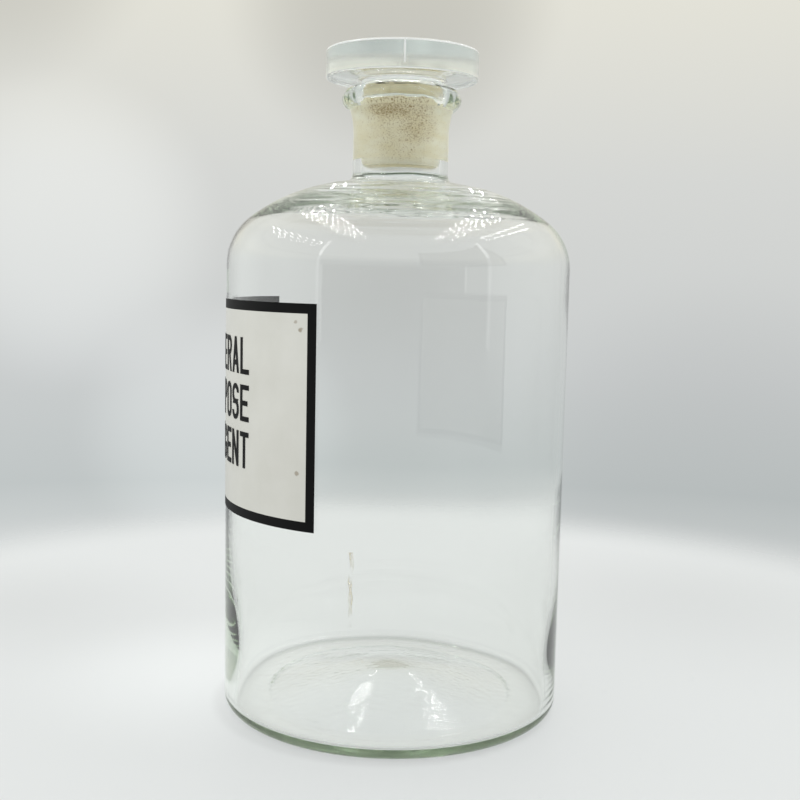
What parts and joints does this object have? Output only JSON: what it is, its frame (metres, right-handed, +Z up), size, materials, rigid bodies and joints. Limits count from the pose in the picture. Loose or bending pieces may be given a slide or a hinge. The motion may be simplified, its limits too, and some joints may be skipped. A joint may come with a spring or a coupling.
{
  "type": "reagent bottle",
  "caption": "Large clear-glass reagent bottle with a domed shoulder, short neck, rounded lip, flat-head ground glass stopper and a framed wrap-round enamel label.",
  "frame": {"origin": "centre of the ring that the bottle stands on, on the bottle's axis", "axes": "+Z up along the bottle's axis; the label faces -Y; +X is to the label's right as it is read"},
  "size_m": [0.182, 0.1824, 0.3493],
  "materials": {
    "bottle_glass": "clear blown soda glass with a faint green tint; ground grey inside the neck",
    "stopper_glass": "pressed clear glass, milky in the thick head; plug ground matt",
    "white_enamel": "fired white enamel, glossy, slightly yellowed near the edges",
    "black_enamel": "fired black enamel, satin"
  },
  "bodies": {
    "bottle": {"bottle": "bottle_glass", "label_field": "white_enamel", "label_border": "black_enamel", "label_row_1": "black_enamel", "label_row_2": "black_enamel", "label_row_3": "black_enamel"},
    "stopper": {"stopper": "stopper_glass"}
  },
  "joints": [
    {"name": "stopper_lift", "type": "slide", "parent": "bottle", "child": "stopper", "axis": [0, 0, 1], "range_m": [0, 0.06]}
  ]
}
